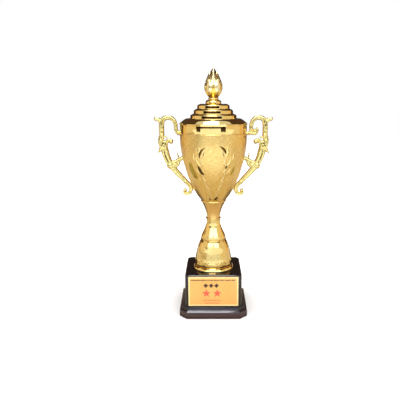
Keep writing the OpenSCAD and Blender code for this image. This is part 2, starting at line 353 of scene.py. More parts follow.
def satin_gold(name, light, deep, radius):
    """Fine-brushed gold: short diagonal strokes laid over the wall, with a frosted grain."""
    n = Nodes(name)
    flat = n.unrolled(radius)
    lean = math.radians(48)
    one_way = n.noise(n.scaled(flat, (260, 1, 2400), (0, lean, 0)), 1.0, 3.0)
    other_way = n.noise(n.scaled(flat, (260, 1, 2400), (0, -lean, 0)), 1.0, 3.0)
    patch = n.noise(n.scaled(flat, (110, 1, 70)), 1.0, 2.0)
    choice = {"Factor": n.spread(patch, 0.0, 1.0, 0.42, 0.58), "A": one_way, "B": other_way}
    hatch = n.add("ShaderNodeMix", choice, data_type="FLOAT").outputs["Result"]
    grain = n.noise(n.place(), 5200.0, 2.0)
    tone = n.blend((hatch, 0.75), (grain, 0.25))
    n.feed(Base_Color=n.ramp(tone, (0.42, deep), (0.58, light)))
    n.feed(Roughness=n.spread(tone, 0.38, 0.27))
    n.feed(Normal=n.bump(n.blend((hatch, 0.7), (grain, 0.3)), 0.55, 0.00012))
    n.feed(Metallic=1.0, Coat_Weight=0.9, Coat_Roughness=0.30, Coat_IOR=1.55)
    return n.material


def cast_gold(name, light, deep, recess_shade):
    """Bright plate on a casting: soft waviness, and colour that follows the mesh's curvature: lighter on
    ridges as a painted highlight, darker in the recesses as painted shade.
    """
    n = Nodes(name)
    where = n.place()
    # Curvature picks the colour: painted shade in the hollows, painted highlight on the ridges.
    hollow = n.add("ShaderNodeNewGeometry", {}).outputs["Pointiness"]
    shade = n.blend((hollow, 1.0), (n.noise(where, 260.0), 0.04))
    n.feed(Base_Color=n.ramp(shade, (0.44, recess_shade), (0.50, deep), (0.56, light)))
    n.feed(Roughness=n.spread(n.noise(where, 1400.0), 0.06, 0.13))
    wave = n.noise(where, 420.0, 2.0)
    specks = n.noise(where, 3000.0, 2.0)
    n.feed(Normal=n.bump(n.blend((wave, 0.8), (specks, 0.2)), 0.45, 0.00035))
    n.feed(Metallic=1.0)
    return n.material


def black_gloss(name, block, plate):
    """Glossy moulding, black on its block and browner on its plate, with fine orange peel and dust."""
    n = Nodes(name)
    where = n.place()
    level = n.blend((n.split(where)["Z"], 1.0), (n.noise(where, 60.0), 0.003))
    tone = n.spread(level, 0.0, 1.0, 0.006, 0.010)
    n.feed(Base_Color=n.ramp(tone, (0.2, plate), (0.8, block)))
    n.feed(Roughness=n.spread(n.noise(where, 1500.0, 5.0), 0.04, 0.09))
    peel = n.noise(where, 700.0, 2.0)
    dust = n.noise(where, 5000.0, 2.0)
    n.feed(Normal=n.bump(n.blend((peel, 0.7), (dust, 0.3)), 0.08, 0.0001))
    n.feed(IOR=1.62)
    return n.material


def plaque_metal(name, light, deep):
    """Printed gold plate: fine sideways brushing under a satin lacquer."""
    n = Nodes(name)
    where = n.place()
    brushed = n.noise(n.scaled(where, (160, 1, 6000)), 1.0, 3.0)
    cloud = n.noise(where, 70.0)
    n.feed(Base_Color=n.ramp(n.blend((brushed, 0.5), (cloud, 0.5)), (0.35, deep), (0.65, light)))
    n.feed(Roughness=n.spread(brushed, 0.45, 0.34))
    n.feed(Normal=n.bump(brushed, 0.12, 0.00005))
    n.feed(Metallic=0.35, Coat_Weight=0.25, Coat_Roughness=0.25)
    return n.material


def ink(name, light, deep):
    """Screen-printed ink, slightly uneven."""
    n = Nodes(name)
    where = n.place()
    n.feed(Base_Color=n.ramp(n.noise(where, 1800.0), (0.35, deep), (0.65, light)))
    n.feed(Roughness=n.spread(n.noise(where, 2400.0), 0.35, 0.6))
    n.feed(Normal=n.bump(n.noise(where, 4000.0), 0.15, 0.00004))
    return n.material


def plain_steel(name, light, deep):
    """Zinc-plated steel with a patchy, slightly yellow passivation."""
    n = Nodes(name)
    where = n.place()
    n.feed(Base_Color=n.ramp(n.noise(where, 500.0, 4.0), (0.3, deep), (0.7, light)))
    n.feed(Roughness=n.spread(n.noise(where, 1500.0), 0.22, 0.42))
    n.feed(Normal=n.bump(n.noise(where, 3500.0), 0.2, 0.00006))
    n.feed(Metallic=1.0)
    return n.material


def rough_matter(name, light, deep, scale, rough, depth):
    """A dull grainy material, such as plaster, flocking or foam tape."""
    n = Nodes(name)
    grain = n.noise(n.place(), scale, 6.0, 0.65)
    n.feed(Base_Color=n.ramp(grain, (0.3, deep), (0.7, light)))
    n.feed(Roughness=n.spread(grain, rough, rough + 0.08))
    n.feed(Normal=n.bump(grain, 0.6, depth))
    return n.material


GOLD = polished_gold("gold_mirror", (0.92, 0.64, 0.20), (0.88, 0.58, 0.16))
BEATEN = polished_gold("gold_beaten", (0.92, 0.65, 0.21), (0.84, 0.56, 0.16), (0.05, 0.10), dimples=0.30)
# Near-black gold without lacquer: a painted dark reflection, for cuts that mirror the dark room.
DARK_REFLECTION = polished_gold("gold_painted_dark_reflection", (0.14, 0.075, 0.012), (0.09, 0.045, 0.008), lacquer=0.0)
SATIN = satin_gold("gold_satin", (0.98, 0.70, 0.21), (0.78, 0.42, 0.06), CUP_R * MM)
SATIN_STEM = satin_gold("gold_satin_stem", (0.96, 0.60, 0.17), (0.84, 0.47, 0.11), 8 * MM)
# The casting's third colour is painted shade for its recesses.
CAST = cast_gold("gold_cast", (0.90, 0.76, 0.30), (0.78, 0.56, 0.15), (0.36, 0.20, 0.04))
# A paler, rougher copy of the mirror gold for the finial's petals and the laurel's stalks: painted
# highlight.
PALE_LIT_GOLD = polished_gold("gold_pale_painted_highlight", (0.95, 0.76, 0.38), (0.87, 0.65, 0.27), (0.20, 0.28))
YELLOW = polished_gold("gold_yellow", (0.94, 0.66, 0.10), (0.86, 0.54, 0.06), (0.14, 0.2))
# A dark brown copy of the mirror gold for the bud's core: painted shade in the gaps between the petals.
CORE_SHADE = polished_gold("gold_painted_core_shade", (0.42, 0.24, 0.07), (0.33, 0.18, 0.05))
# Olive-toned gold without lacquer: a painted olive reflection on some laurel leaves.
OLIVE_REFLECTION = polished_gold("gold_painted_olive_reflection", (0.56, 0.40, 0.07), (0.44, 0.31, 0.05), lacquer=0.0)
BLACK = black_gloss("black_plastic", (0.006, 0.004, 0.005), (0.045, 0.024, 0.024))
PLAQUE = plaque_metal("plaque_gold", (0.88, 0.49, 0.14), (0.83, 0.42, 0.10))
PALE = plaque_metal("plaque_border", (0.98, 0.80, 0.40), (0.94, 0.72, 0.32))
DARK_INK = ink("print_brown", (0.075, 0.030, 0.012), (0.045, 0.016, 0.007))
RED_INK = ink("print_red", (0.80, 0.115, 0.045), (0.66, 0.075, 0.03))
STEEL = plain_steel("steel", (0.72, 0.71, 0.66), (0.50, 0.50, 0.48))
PLASTER = rough_matter("plaster", (0.66, 0.64, 0.60), (0.50, 0.48, 0.45), 900.0, 0.85, 0.0002)
BOARD = rough_matter("cover_board", (0.045, 0.045, 0.05), (0.012, 0.012, 0.014), 4200.0, 0.9, 0.0002)
TAPE = rough_matter("tape", (0.88, 0.88, 0.84), (0.74, 0.74, 0.70), 3000.0, 0.8, 0.0001)

CAD_LOOKS = {"bottom_cover": BOARD, "base_ballast": PLASTER, "plaque_tape": TAPE}
for fastener in ("rod_nut_bottom", "base_washer", "bowl_washer", "rod_nut_top", "centre_rod",
                 "handle_washers", "handle_screws", "lid_washer", "lid_screw"):
    CAD_LOOKS[fastener] = STEEL
for node_name, look in CAD_LOOKS.items():
    for material_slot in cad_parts[node_name].material_slots:
        material_slot.material = look


# ------ cup

def cup_outside():
    """Outer side of the cup wall, from the foot up, as (radius, height)."""
    straight = CUP_R - 0.1
    shoulder = CUP_H - 15.2
    wall = curve((11, 0), (22.8, 13.6), (straight, shoulder - 10), (straight, shoulder), 40)
    foot = CUP_H - BAND_H
    groove = [(straight - 0.02, foot - 0.5), (straight - 0.2, foot - 0.25), (straight - 0.2, foot)]
    swell = curve((straight - 0.02, foot + 0.2), (straight + 0.02, foot + 2.6),
                  (straight + 0.02, foot + 5.5), (straight - 0.04, CUP_H - 0.3), 14)
    side = wall + groove + swell + [(CUP_R - 0.3, CUP_H)]
    return [(r, CUP_Z + z) for r, z in side]


OUTSIDE = cup_outside()


def cup_radius(z):
    """Outer radius of the cup at a height."""
    return float(np.interp(z, [p[1] for p in OUTSIDE], [p[0] for p in OUTSIDE]))


def on_cup(across, z, lift):
    """A point near the cup's wall: distance round from the front, height, and lift off the wall."""
    r = cup_radius(z)
    return around_axis(r + lift, across / r, z)


def make_cup():
    """The cup in one skin: satin outside, and polished on its rim band and inside."""
    inner_r = CUP_R - CUP_WALL
    floor_z = 1.6
    inner = [(ROD_BORE, floor_z), (9.4, floor_z)]
    inner += curve((10.2, 2.2), (21.8, 14.4),
                   (inner_r - 0.1, CUP_H - 25.2), (inner_r - 0.1, CUP_H - 15.2), 30)
    inner += [(inner_r, CUP_H - 0.4), (inner_r + 0.3, CUP_H)]
    inner = [(r, CUP_Z + z) for r, z in inner]
    outline = [(ROD_BORE, CUP_Z)] + OUTSIDE + inner[::-1]
    cup = lathe("cup", outline, SATIN, CUP, "gold_satin", 256)
    cup.data.materials.append(GOLD)
    band_z = (RIM_Z - BAND_H - 0.2) * MM
    for polygon in cup.data.polygons:
        centre = polygon.center
        inside = math.hypot(centre.x, centre.y) < (cup_radius(centre.z / MM) - 0.6) * MM
        if centre.z > band_z or inside:
            polygon.material_index = 1
    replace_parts(cup, "cup_bowl")


def leaf_mesh(base, angle, length, width, place, height=0.22, bend=0.12):
    """A chased leaf on a surface: pointed, with a raised midrib. place(x, y, lift) puts it there."""
    along, across = 14, 8
    edge_lift, root = 0.03, -0.4
    verts = []
    for front in (True, False):
        for i in range(along + 1):
            t = i / along
            half = width / 2 * math.sin(math.pi * t ** 0.8) ** 0.9 * (1 - 0.15 * t)
            swing = bend * length * math.sin(math.pi * t)
            for j in range(across + 1):
                v = j / across * 2 - 1
                x = t * length
                y = swing + v * half
                crown = height * (1 - abs(v)) * math.sin(math.pi * t) ** 0.6
                px = base[0] + x * math.cos(angle) - y * math.sin(angle)
                py = base[1] + x * math.sin(angle) + y * math.cos(angle)
                verts.append(place(px, py, crown + edge_lift if front else root))
    return verts, sheet_faces(along, across)


def leaf_piece(name, leaves, material):
    """Leaves as one piece of the cup."""
    piece(name, *merge(leaves), material, CUP, "gold_mirror", 25)


def make_laurel():
    """Two branches of bright-cut leaves round a blank oval on the cup's front."""
    branch = curve((0.8, 2), (5, 16), (17, 32), (5.8, 49.5), 100)
    bright = []
    stalks = []
    for hand in (1, -1):
        def place(x, y, lift, hand=hand):
            return on_cup(hand * x, CUP_Z + y, lift)
        for k in range(6):
            x, y = branch[2 + 16 * k]
            angle = heading((x, y), branch[4 + 16 * k])
            size = 5.0 + 1.3 * min(k, 4)
            bright.append(leaf_mesh((x + 0.9, y), angle - 0.37, size, 0.3 * size, place, bend=-0.12))
            bright.append(leaf_mesh((x, y), angle + 0.06, 0.85 * size, 0.17 * size, place, bend=0.1))
            if k in (2, 3, 4):
                outer = (x + 5.5, y - 0.5)
                bright.append(leaf_mesh(outer, angle - 0.1, 1.25 * size, 0.32 * size, place, bend=-0.1))
        for i in range(0, 96, 8):
            here, ahead = branch[i], branch[i + 8]
            length = 1.3 * math.dist(here, ahead)
            stalks.append(leaf_mesh(here, heading(here, ahead), length, 0.9, place, 0.2, 0))
    leaf_piece("laurel", bright, GOLD)
    # The stalks take the paler gold: painted highlight.
    leaf_piece("laurel_stalks", stalks, PALE_LIT_GOLD)


def cut_leaf(x, y, degrees, length, width, bend):
    """A leaf that stands over the laurel, from its foot: distance across and height on the cup."""
    def place(px, py, lift):
        return on_cup(px, CUP_Z + py, lift + 0.22)
    return leaf_mesh((x, y), math.radians(degrees), length, width, place, 0.25, bend)


def make_laurel_cuts():
    """The laurel's cut leaves that stand over it: some coloured near-black as a painted dark reflection,
    some olive as a painted olive reflection.
    """
    # These leaves are coloured near-black: painted dark reflection.
    deep = [
        cut_leaf(-12, 39.9, 60, 11.2, 2.1, 0.16),
        cut_leaf(10.9, 43.8, 132, 9.4, 2.3, -0.12),
        cut_leaf(-8, 25.6, 124, 10.6, 2.9, 0.06),
        cut_leaf(10.4, 31, 60, 3.4, 1.6, 0.1),
        cut_leaf(0.6, 1.6, 40, 5.2, 1.7, 0.1),
        cut_leaf(-2.2, 2.2, 120, 2.6, 1.0, 0.1),
        cut_leaf(-18.8, 23.2, 0, 4.4, 1.0, 0),
    ]
    # These leaves are coloured olive: painted olive reflection.
    olive = [
        cut_leaf(-14.8, 21.5, 114, 15.5, 5.2, 0.08),
        cut_leaf(-20.0, 26, 106, 11, 3.2, 0.08),
        cut_leaf(15.5, 25, 68, 10, 2.6, -0.08),
    ]
    leaf_piece("laurel_painted_dark", deep, DARK_REFLECTION)
    leaf_piece("laurel_painted_olive_reflection", olive, OLIVE_REFLECTION)


# ------ stem and foot

def stem_ring(name, outer, node):
    """A polished ring round the rod, from its outer side, bottom to top."""
    outline = [(ROD_BORE, outer[0][1])] + outer + [(ROD_BORE, outer[-1][1])]
    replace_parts(lathe(name, outline, GOLD, CUP, "gold_mirror"), node)


def stem_shell(name, side, material, slot, node):
    """A hollow turned piece of the stem, from its outer side, bottom to top."""
    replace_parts(lathe(name, turned_shell(side, STEM_WALL), material, CUP, slot), node)


def make_foot_ring():
    z, top = ends("foot_ring")
    r = reach("foot_ring")
    side = [(14, z), (r - 0.35, z), (r - 0.1, z + 0.2)]
    side += curve((r - 0.02, z + 0.5), (r - 0.25, z + 1.2), (r - 0.75, z + 2.0), (r - 1.4, top - 0.05), 8)
    stem_ring("foot_roll", side + [(14, top)], "foot_ring")


def bell_flank():
    """Lower side of the foot bell, as (radius, height over its foot)."""
    return curve((BELL_R + 0.3, 0.5), (BELL_R + 0.8, 1.4), (BELL_R + 0.5, 6), (BELL_R - 0.5, 10.5), 16)


def make_foot_bell():
    z, top = ends("foot_bell")
    h = top - z
    lip = [(BELL_R - 0.1, 0), (BELL_R + 0.3, 0.5)]
    neck = curve((BELL_R - 0.5, 10.5), (BELL_R - 1.2, 15), (13.2, h - 2.5), (11.2, h), 24)
    side = [(r, z + y) for r, y in joined(lip, bell_flank(), neck)]
    stem_shell("foot_bell_shell", side, BEATEN, "gold_mirror", "foot_bell")


def make_trumpet():
    z, top = ends("stem_trumpet")
    lip = [(11.1, z), (11.3, z + 0.5)]
    side = joined(lip, curve((11.3, z + 0.5), (11.2, z + 5), (6.8, z + 8), (6.0, top), 28))
    stem_shell("trumpet", side, GOLD, "gold_mirror", "stem_trumpet")


def make_stem_beads():
    z, top = ends("stem_collar")
    beads = roll(5.9, z, z + 0.9, 8) + [(5.9, z + 1.0)] + roll(6.0, z + 1.1, top, 10)
    stem_ring("stem_beads", [(4, z)] + beads + [(4, top)], "stem_collar")


def make_cone():
    z, top = ends("stem_cone")
    side = curve((6, z), (6.1, z + 5.2), (8.3, z + 10), (10.7, top), 24)
    stem_shell("cone", side, SATIN_STEM, "gold_satin", "stem_cone")


def make_round_ring(name, node, bore, inset, n):
    """A half-round ring between two pieces of the stem."""
    z, top = ends(node)
    stem_ring(name, [(bore, z)] + roll(reach(node) - inset, z, top, n) + [(bore, top)], node)


def make_bell_engraving():
    """Bright-cut leaves in a row round the bell, over a row of dots coloured near-black as a painted dark
    reflection.
    """
    z0 = ends("foot_bell")[0]
    radii, heights = zip(*bell_flank())
    sprigs = 12
    bright = []
    deep = []
    for k in range(sprigs):
        turn = 2 * math.pi * (k + 0.4) / sprigs

        def place(x, y, lift, turn=turn):
            r = float(np.interp(y, heights, radii))
            return around_axis(r + lift, x / r + turn, z0 + y)
        for angle in (40, 90, 140):
            bright.append(leaf_mesh((0, 4.4), math.radians(angle), 3.6, 1.3, place, 0.16))
        # The dots are coloured near-black: painted dark reflection.
        deep.append(leaf_mesh((-0.4, 3.6), 0, 0.9, 0.8, place, 0.1, 0))
        if k % 3 == 0:
            deep.append(leaf_mesh((3.6, 5.0), math.radians(70), 1.4, 0.6, place, 0.1, 0))
    leaf_piece("bell_engraving", bright, GOLD)
    leaf_piece("bell_engraving_painted_dark", deep, DARK_REFLECTION)


# ------ handles

def swept(points, widths, depths, groove):
    """A closed bar along points in the handle's plane. Widths lie in the plane, depths front to back."""
    around = 20
    path = [Vector(p) for p in points]
    last = len(path) - 1
    verts = []
    for i, p in enumerate(path):
        ahead = (path[min(i + 1, last)] - path[max(i - 1, 0)]).normalized()
        side = Vector((-ahead.y, ahead.x))
        for k in range(around):
            a = 2 * math.pi * k / around
            c, s = math.cos(a), math.sin(a)
            dip = 1 - groove * math.exp(-(c / 0.30) ** 2)
            out = widths[i] / 2 * math.copysign(abs(c) ** 0.9, c)
            deep = depths[i] / 2 * math.copysign(abs(s) ** 0.8, s) * dip
            q = p + side * out
            verts.append((q.x, deep, q.y))
    return verts, tube_faces(len(path), around)


def ball(centre, radius, depth):
    """A flattened ball of the casting, centred in the handle's plane."""
    steps = 12
    cx, cz = centre
    verts = [(cx, depth / 2, cz)]
    for i in range(1, steps):
        a = math.pi * i / steps
        ring = radius * math.sin(a)
        for k in range(2 * steps):
            b = math.pi * k / steps
            verts.append((cx + ring * math.cos(b), depth / 2 * math.cos(a), cz + ring * math.sin(b)))
    verts.append((cx, -depth / 2, cz))
    faces = []
    around = 2 * steps
    base = 1 + (steps - 2) * around
    for k in range(around):
        j = (k + 1) % around
        faces.append((0, 1 + k, 1 + j))
        faces.append((base + j, base + k, len(verts) - 1))
        for i in range(steps - 2):
            a = 1 + i * around
            faces.append((a + k, a + around + k, a + around + j, a + j))
    return verts, faces


def rounded_tip(end, inner, width, depth):
    """Narrowing sections past a bar's end, as (point, width, depth)."""
    away = (Vector(end) - Vector(inner)).normalized()
    sections = []
    for degrees in (30, 60, 82):
        angle = math.radians(degrees)
        point = Vector(end) + away * (width / 2) * math.sin(angle)
        sections.append((tuple(point), width * math.cos(angle), depth * math.cos(angle) ** 0.6))
    return sections


def bar(curves, widths, deep=0.92, groove=0.0):
    """A tapered bar through joined curves, with round ends; widths are given at its ends and joints."""
    points = joined(*curves)
    spread = []
    for k, c in enumerate(curves):
        steps = len(c) - 1
        start = 0 if k == 0 else 1
        spread += [widths[k] + (widths[k + 1] - widths[k]) * j / steps for j in range(start, steps + 1)]
    depths = [min(HANDLE_T, w * 0.45 + HANDLE_T * 0.5 * deep) for w in spread]
    first = rounded_tip(points[0], points[1], spread[0], depths[0])
    last = rounded_tip(points[-1], points[-2], spread[-1], depths[-1])
    sections = first[::-1] + list(zip(points, spread, depths)) + last
    return swept(*zip(*sections), groove)


def handle_root(volute):
    """The arch's way in from the cup: its parts, its curves and the widths along them."""
    if not volute:
        slope = curve((-0.4, -7.6), (2, -7.6), (2.9, -6.6), (3.6, -3.8), 8)
        return [ball((1.2, -7.2), 1.9, 4.6)], [slope], [4.0, 3.2]
    scroll = [curve((8.6, -2.4), (9.3, -3.0), (9.3, -4), (9.1, -4.6), 4),
              curve((9.1, -4.6), (9, -9.5), (3.8, -8.5), (3.8, -4.5))]
    link = bar([curve((6.4, -7.4), (4, -7.5), (1, -7.5), (-0.4, -7.6), 6)], [2.6, 3.6])
    return [link, ball((7.0, -5.1), 1.55, 4.4), ball((2.0, -7.3), 1.5, 4.6)], scroll, [1, 2.5, 3.2]


def handle_parts(volute):
    """The casting's bars, balls and leaves, in (out from the rim, over the rim)."""
    parts, root, widths = handle_root(volute)
    arch = [curve(root[-1][-1], (3.2, 1.5), (5.5, 6), (10.2, 6.1), 16),
            curve((10.2, 6.1), (14, 6.1), (16, 4), (16.1, -1), 14),
            curve((16.1, -1), (16.1, -4), (16, -7), (15.9, -10.5), 8),
            curve((15.9, -10.5), (17.4, -12.5), (17.6, -16), (15.3, -20), 10)]
    body = [curve((14.3, -16.4), (14, -19.5), (13.6, -22), (13.2, -24), 6),
            curve((13.2, -24), (12.5, -28), (10.5, -32), (8.4, -35.4), 10),
            curve((8.4, -35.4), (4.6, -41.5), (-1, -46), (-5, -50.8), 16),
            curve((-5, -50.8), (-10, -54.5), (-10.3, -60), (-6.8, -61.3), 14),
            curve((-6.8, -61.3), (-4, -62.2), (-2.4, -60.6), (-3.6, -58.6), 8)]
    parts.append(bar(root + arch, widths + [4.0, 4.6, 4.4, 5.2], groove=0.16))
    knob_and_ring = [
        bar([curve((15.2, 0.6), (17, 3), (19, 4.4), (20.8, 4.9), 10)], [3.4, 3.0]),
        ball((21.0, 4.9), 1.7, 3.6),
        ball((18.6, 4.9), 1.35, 3.0),
        bar([curve((11.9, -10.6), (13.5, -11.4), (16, -11.4), (17.9, -10.7), 8)], [1.3, 2.0], 1.0),
        ball((16.0, -8.9), 2.3, 4.6),
        ball((16.9, -13.2), 1.7, 4.4),
    ]
    hook_and_spur = [
        bar([curve((12.8, -20.5), (12.6, -13.6), (9.6, -12), (8.1, -14.4), 14)], [3.8, 2.6], groove=0.1),
        ball((8.0, -14.8), 2.1, 4.6),
        bar([curve((15.4, -18.6), (17.3, -22), (18.4, -23.4), (19.5, -24.6), 8)], [4.6, 1.0]),
    ]
    body_and_scroll = [
        bar(body, [5.2, 7.0, 5.6, 4.2, 3.2, 2.4], groove=0.34),
        ball((9.2, -36.2), 3.0, 4.6),
        ball((-3.9, -58.4), 1.75, 4.4),
        ball((-4.6, -50.6), 2.1, 4.5),
    ]
    leaf_and_spike = [
        bar([curve((8, -34.6), (4, -33.5), (1.2, -31), (-2.2, -29.2), 12)], [4.6, 3.4], groove=0.2),
        bar([curve((1.9, -31.2), (1, -34), (2.3, -36), (6, -37.9), 10)], [3.2, 2.8]),
        bar([curve((0.9, -30.4), (2, -28.5), (2.3, -26.5), (2.3, -24.3), 8)], [2.2, 0.7], 0.4),
        ball((5.0, -35.4), 2.1, 4.5),
    ]
    stub = bar([curve((-8.8, -56.5), (-10, -56.6), (-11, -56.8), (-12.2, -56.9), 4)], [2.2, 2.2], 0.5)
    return parts + knob_and_ring + hook_and_spur + body_and_scroll + leaf_and_spike + [stub]


def make_handle(name, node, hand, volute):
    """Fuses the casting's parts with a fine voxel remesh, then smooths it."""
    verts, faces = merge(handle_parts(volute))
    verts = [((hand * (CUP_R + x)) * MM, y * MM, (RIM_Z + z) * MM) for x, y, z in verts]
    if hand < 0:
        faces = [f[::-1] for f in faces]
    handle = piece(name, verts, faces, CAST, CUP, "gold_cast")
    fuse = handle.modifiers.new("fuse", "REMESH")
    fuse.mode = "VOXEL"
    fuse.voxel_size = 0.22 * MM
    fuse.use_smooth_shade = True
    smooth = handle.modifiers.new("smooth", "SMOOTH")
    smooth.factor = 0.5
    smooth.iterations = 4
    run_modifiers(handle)
    handle.data.materials.clear()
    handle.data.materials.append(CAST)
    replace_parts(handle, node)


# ------ lid and finial

SCREW_BORE = 1.6
TIER_R = 20.2
TIER_STEP = 3.05
TIER_H = 4.2


def make_lid():
    """The lid's stepped dome with the spigot that sits in the cup."""
    edge_r = reach("lid_shell")
    seat = RIM_Z + 0.05
    top = ends("lid_shell")[1]
    shoulder = seat + 5.1
    inner_r = CUP_R - CUP_WALL - 1.7
    outer = [(edge_r - 0.3, seat), (edge_r, seat + 0.2), (edge_r - 0.05, seat + 1.0)]
    outer += curve((edge_r - 0.35, seat + 1.3), (edge_r - 2.2, seat + 2.8),
                   (26.2, shoulder - 1), (24.4, shoulder - 0.2), 8)
    outer += [(24.0, shoulder), (21.0, shoulder - 0.1)]
    for i in range(3):
        r = TIER_R - TIER_STEP * i
        z = shoulder + i * TIER_H
        outer += [(r + 0.1, z), (r, z + 0.25)]
        outer += curve((r, z + 0.3), (r - 0.02, z + 1.1), (r - 0.06, z + 1.9), (r - 0.11, z + 2.65), 10)
        outer += curve((r - 0.15, z + 2.75), (r - 0.7, z + 3.25),
                       (r - 1.8, z + 4.05), (r - 2.9, z + TIER_H), 9)
    outer += [(7, top), (SCREW_BORE, top)]
    inner = [
        (SCREW_BORE, top - 1.8), (9.6, top - 1.8), (18.0, shoulder), (23.3, shoulder - 1.8),
        (inner_r, seat + 1), (inner_r, seat - 4), (inner_r + 1.2, seat - 4), (inner_r + 1.2, seat),
    ]
    lid = lathe("lid_dome", outer + softened(inner, 0.3, 2), GOLD, LID, "gold_mirror", 224, 50)
    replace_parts(lid, "lid_shell")


def make_finial_collar():
    z, top = ends("finial_collar")
    outer = joined(
        [(6.7, z), (6.85, z + 0.2)],
        curve((6.85, z + 0.2), (6.9, z + 1.2), (6.8, z + 2.2), (6.2, z + 2.8), 8),
        curve((6.2, z + 2.8), (5.6, z + 3.3), (4.6, z + 3.4), (4.0, z + 3.5), 5),
        curve((4.0, z + 3.5), (4.6, z + 3.6), (4.7, z + 5.1), (3.9, top), 10),
    )
    outline = [(SCREW_BORE, z)] + outer + [(SCREW_BORE, top)]
    collar = lathe("finial_spool", outline, GOLD, LID, "gold_mirror")
    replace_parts(collar, "finial_collar")


def petal(turn, spread, spine):
    """A pointed petal with a ridge, round its spine, a curve of (radius, height)."""
    across, thick = 10, 0.45
    along = len(spine) - 1
    verts = []
    for back in (0, thick):
        for i, (r, z) in enumerate(spine):
            t = i / along
            half = spread * max(0.02, math.sin(math.pi * (0.22 + 0.78 * t)) ** 0.7)
            ridge = 0.5 - 0.35 * t
            droop = 0.45 - 0.25 * t
            for j in range(across + 1):
                v = j / across * 2 - 1
                out = r + ridge * (1 - abs(v)) - droop * abs(v) ** 3 - back
                verts.append(around_axis(out, turn + v * half / max(r, 2.0), z))
    # Each face is turned over, because this grid runs the other way round.
    return verts, [face[:1] + face[:0:-1] for face in sheet_faces(along, across)]


def petal_ring(spine, spread, count, offset=0):
    """Petals spaced evenly round the bud; the offset is in petals."""
    return [petal(2 * math.pi * (k + offset) / count, spread, spine) for k in range(count)]


def make_finial():
    """The bud: a slim core coloured dark as painted shade between the petals, a calyx of five cups, two
    rings of petals and a closed tip.
    """
    z, top = ends("finial_bud")

    def up(r, h):
        return (r, z + h)
    core = joined(
        [up(3.7, 0), up(3.9, 0.2)],
        curve(up(3.9, 0.2), up(5.2, 1.4), up(6.2, 3.6), up(6.6, 6.8), 10),
        curve(up(6.6, 6.8), up(6.8, 10), up(6.0, 13), up(4.9, 15.5), 8),
        curve(up(4.9, 15.5), up(4.0, 18.2), up(3.0, 20.5), up(2.2, 21.8), 8),
        curve(up(2.2, 21.8), up(1.5, 23), (0.7, top - 0.4), (0, top), 6),
    )
    outline = [(SCREW_BORE, z)] + core + [up(0, 9.5), up(SCREW_BORE, 9.5)]
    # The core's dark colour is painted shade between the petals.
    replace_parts(lathe("finial_core", outline, CORE_SHADE, LID, "gold_mirror", 96), "finial_bud")
    calyx = curve(up(3.9, 0.5), up(5.4, 1.8), up(7.9, 4.6), up(7.7, 9.9), 12)
    side = curve(up(6.3, 4.0), up(7.8, 6.4), up(8.3, 9.6), up(6.7, 14.8), 14)
    middle = curve(up(6.6, 6.8), up(8.0, 11), up(6.5, 14.8), up(3.3, 21.4), 14)
    tip = curve(up(5.2, 13), up(4.9, 17), up(3.3, 20.5), (0.6, top - 0.4), 14)
    cups = petal_ring(calyx, 3.1, 5)
    petals = petal_ring(side, 4.6, 5, 0.5) + petal_ring(middle, 4.2, 5) + petal_ring(tip, 3.0, 4)
    piece("finial_calyx", *merge(cups), YELLOW, LID, "gold_mirror", 40)
    # The petals take the paler gold: painted highlight.
    piece("finial_petals", *merge(petals), PALE_LIT_GOLD, LID, "gold_mirror", 40)


# ------ base and plaque

INK_PROUD = 0.04
INK_T = 0.06


def square_loop(side, corner, z, rounded):
    """Corner points of a square with rounded or cut corners, in millimetres."""
    n = 6
    eighth = math.pi / 4
    points = []
    for q in range(4):
        middle = eighth + 2 * q * eighth
        cx = math.copysign(side / 2 - corner, math.cos(middle))
        cy = math.copysign(side / 2 - corner, math.sin(middle))
        arc = [(cx + corner * math.cos(a), cy + corner * math.sin(a))
               for a in (middle + eighth * (2 * i / n - 1) for i in range(n + 1))]
        if not rounded:
            (x0, y0), (x1, y1) = arc[0], arc[-1]
            arc = [(x0 + (x1 - x0) * i / n, y0 + (y1 - y0) * i / n) for i in range(n + 1)]
        points += [(x, y, z) for x, y in arc]
    return points


def bevelled(obj, width, angle=25):
    """Rounds an object's hard edges in its geometry."""
    edge = obj.modifiers.new("edges", "BEVEL")
    edge.width = width * MM
    edge.segments = 2
    edge.limit_method = "ANGLE"
    edge.angle_limit = math.radians(angle)
    edge.harden_normals = False
    run_modifiers(obj)


def make_base():
    """The base moulding in one skin: up its hollow inside, then up its plate, ledge and block."""
    plate = 2 * reach("base_shell")
    top = ends("base_shell")[1]
    block = 50

    def on_plate(inset, corner, z):
        return square_loop(plate - inset, corner, z, False)

    def on_block(inset, corner, z):
        return square_loop(block - inset, corner, z, True)
    loops = [
        on_block(4.4, 3, top - 2.2),
        on_block(4.4, 3, 7),
        on_plate(5, 5.4, 4.5),
        on_plate(4.4, 5.4, 0),
        on_plate(0.6, 6.3, 0),
        on_plate(0, 6.5, 0.3),
        on_plate(0, 6.5, 5.2),
        on_plate(0.6, 6.3, 5.9),
        on_plate(2.8, 5.6, 6.7),
        on_plate(3.8, 5.4, 6.72),
        on_plate(4.6, 5.3, 7.0),
        on_plate(5.4, 5.1, 7.8),
        on_plate(5.8, 5.0, 8.8),
        on_plate(6.6, 4.9, 9.0),
        on_block(-1.8, 4.6, 9.2),
        on_block(-1.6, 4.5, 9.8),
        on_block(-0.2, 4.1, 10.0),
        on_block(0, 4, 10.3),
        on_block(0, 4, top - 1.2),
        on_block(0.5, 3.8, top - 0.4),
        on_block(1.4, 3.4, top - 0.02),
        on_block(3.2, 2.8, top),
    ]
    verts = [(x * MM, y * MM, z * MM) for loop in loops for x, y, z in loop]
    faces = tube_faces(len(loops), len(loops[0]))
    base = piece("base_body", verts, faces, BLACK, CUP, "black_plastic", 30)
    bevelled(base, 0.16, 22)
    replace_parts(base, "base_shell")


